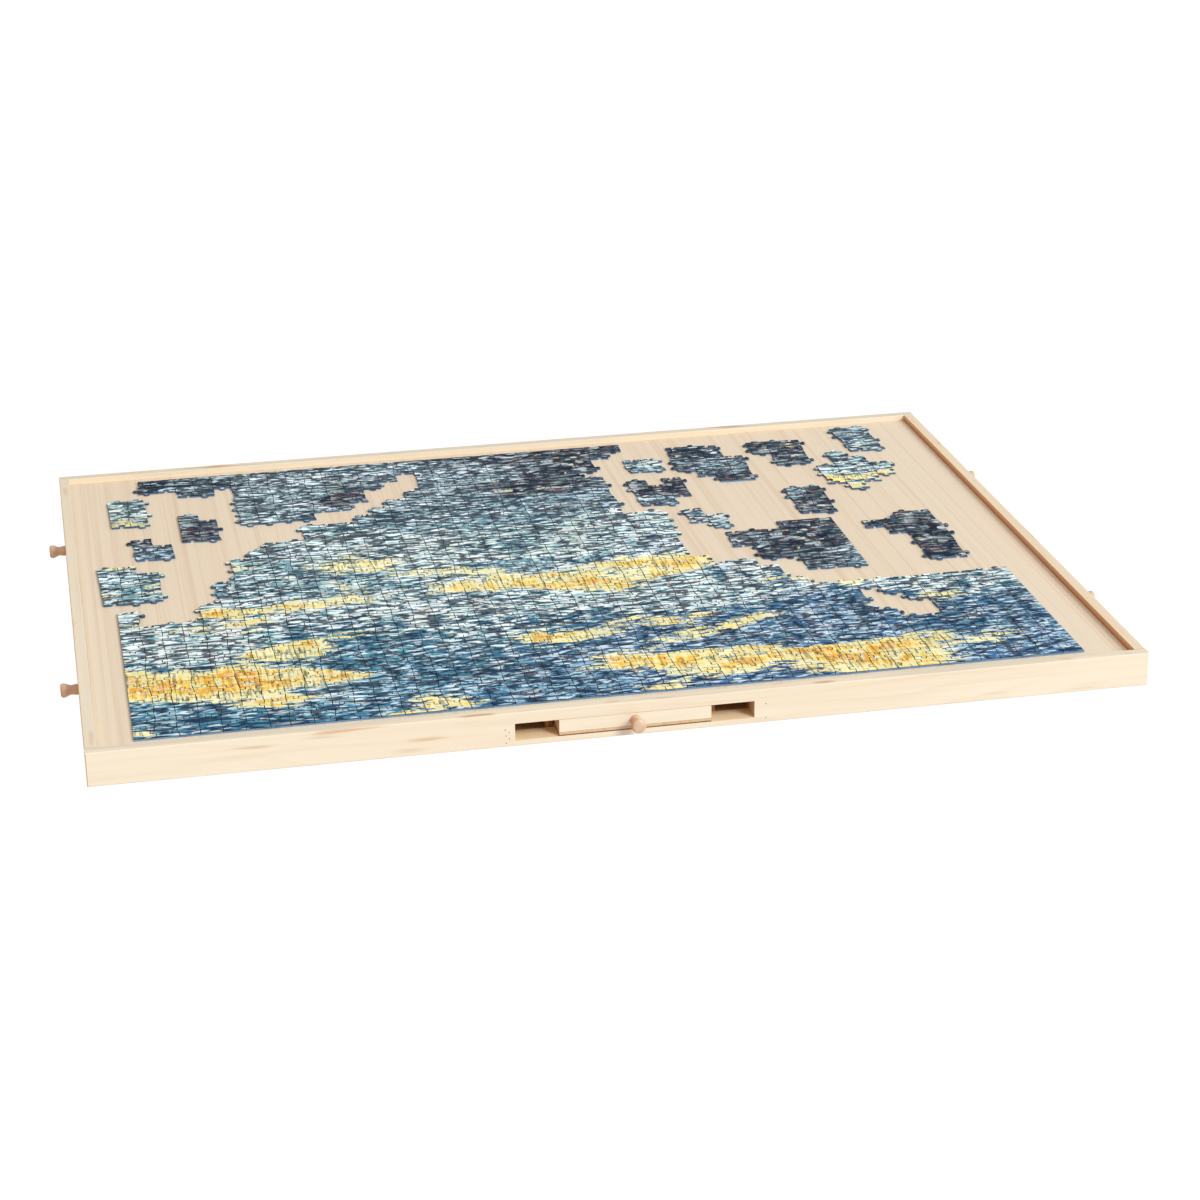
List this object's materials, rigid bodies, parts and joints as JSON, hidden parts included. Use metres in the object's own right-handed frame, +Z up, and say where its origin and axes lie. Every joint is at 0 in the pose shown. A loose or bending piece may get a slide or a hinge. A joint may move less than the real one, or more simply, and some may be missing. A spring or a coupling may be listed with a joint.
{
  "type": "puzzle board with drawers",
  "caption": "Low wooden jigsaw board with a raised rim, a plywood work surface and shallow sorting drawers that slide out of slots in its rails.",
  "frame": {"origin": "middle of the underside, on the surface that the board stands on", "axes": "+X along the long rails to the right, +Y to the back, +Z up"},
  "size_m": [0.93, 0.71, 0.03],
  "materials": {
    "frame_pine": "planed pine, clear and matt",
    "surface_ply": "sanded plywood, clear and matt",
    "bottom_ply": "plywood, bare",
    "drawer_pine": "planed pine, bare",
    "drawer_ply": "plywood edge and face, bare",
    "runner_pine": "sawn pine, bare",
    "bearer_pine": "sawn pine, bare",
    "turned_beech": "turned and sanded, bare",
    "printed_board": "printed cardboard, satin"
  },
  "bodies": {
    "board": {"back_rail": "frame_pine", "back_runners": "runner_pine", "bottom_panel": "bottom_ply", "front_rail": "frame_pine", "front_runners": "runner_pine", "left_back_runners": "runner_pine", "left_bearers": "bearer_pine", "left_front_runners": "runner_pine", "left_long_bearer": "bearer_pine", "left_rail": "frame_pine", "puzzle_clusters_back": "printed_board", "puzzle_clusters_left": "printed_board", "puzzle_clusters_right": "printed_board", "puzzle_joined": "printed_board", "right_back_runners": "runner_pine", "right_bearers": "bearer_pine", "right_front_runners": "runner_pine", "right_long_bearer": "bearer_pine", "right_rail": "frame_pine", "work_surface": "surface_ply"},
    "front_drawer": {"front_drawer_front": "drawer_pine", "front_drawer_sides": "drawer_pine", "front_drawer_back": "drawer_pine", "front_drawer_bottom": "drawer_ply", "front_knob": "turned_beech"},
    "back_drawer": {"back_drawer_front": "drawer_pine", "back_drawer_sides": "drawer_pine", "back_drawer_back": "drawer_pine", "back_drawer_bottom": "drawer_ply", "back_knob": "turned_beech"},
    "left_front_drawer": {"left_front_drawer_front": "drawer_pine", "left_front_drawer_sides": "drawer_pine", "left_front_drawer_back": "drawer_pine", "left_front_drawer_bottom": "drawer_ply", "left_front_knob": "turned_beech"},
    "left_back_drawer": {"left_back_drawer_front": "drawer_pine", "left_back_drawer_sides": "drawer_pine", "left_back_drawer_back": "drawer_pine", "left_back_drawer_bottom": "drawer_ply", "left_back_knob": "turned_beech"},
    "right_front_drawer": {"right_front_drawer_front": "drawer_pine", "right_front_drawer_sides": "drawer_pine", "right_front_drawer_back": "drawer_pine", "right_front_drawer_bottom": "drawer_ply", "right_front_knob": "turned_beech"},
    "right_back_drawer": {"right_back_drawer_front": "drawer_pine", "right_back_drawer_sides": "drawer_pine", "right_back_drawer_back": "drawer_pine", "right_back_drawer_bottom": "drawer_ply", "right_back_knob": "turned_beech"}
  },
  "joints": [
    {"name": "front_drawer_slide", "type": "slide", "parent": "board", "child": "front_drawer", "axis": [0, -1, 0], "range_m": [0, 0.24]},
    {"name": "back_drawer_slide", "type": "slide", "parent": "board", "child": "back_drawer", "axis": [0, 1, 0], "range_m": [0, 0.24]},
    {"name": "left_front_drawer_slide", "type": "slide", "parent": "board", "child": "left_front_drawer", "axis": [-1, 0, 0], "range_m": [0, 0.24]},
    {"name": "left_back_drawer_slide", "type": "slide", "parent": "board", "child": "left_back_drawer", "axis": [-1, 0, 0], "range_m": [0, 0.24]},
    {"name": "right_front_drawer_slide", "type": "slide", "parent": "board", "child": "right_front_drawer", "axis": [1, 0, 0], "range_m": [0, 0.24]},
    {"name": "right_back_drawer_slide", "type": "slide", "parent": "board", "child": "right_back_drawer", "axis": [1, 0, 0], "range_m": [0, 0.24]}
  ]
}
